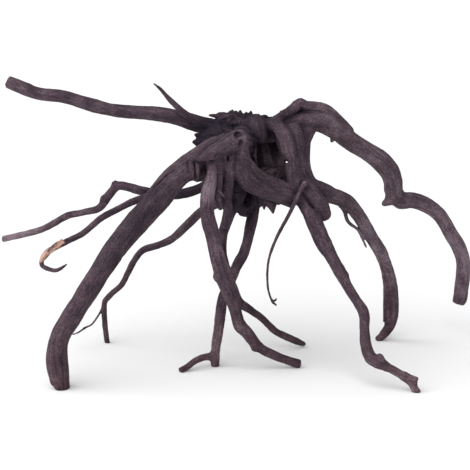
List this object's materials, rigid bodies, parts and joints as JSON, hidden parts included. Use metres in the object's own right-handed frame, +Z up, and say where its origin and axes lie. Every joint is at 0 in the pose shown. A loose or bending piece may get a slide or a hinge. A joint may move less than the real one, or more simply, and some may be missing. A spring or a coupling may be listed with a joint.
{
  "type": "spiderwood root",
  "caption": "Dark spiderwood root: a torn, hollow crown on crooked spreading legs, with a long branch, an arched arm and thin rootlets.",
  "frame": {"origin": "on the surface it stands on, below the middle of the root's box", "axes": "+Z up, +X along the root's length to the right of its front view, +Y away from the front"},
  "size_m": [0.4196, 0.1963, 0.2375],
  "materials": {
    "root_wood": "dry, matte, finely fibrous bark-free wood"
  },
  "bodies": {
    "root": {"spiderwood_root": "root_wood"}
  },
  "joints": []
}
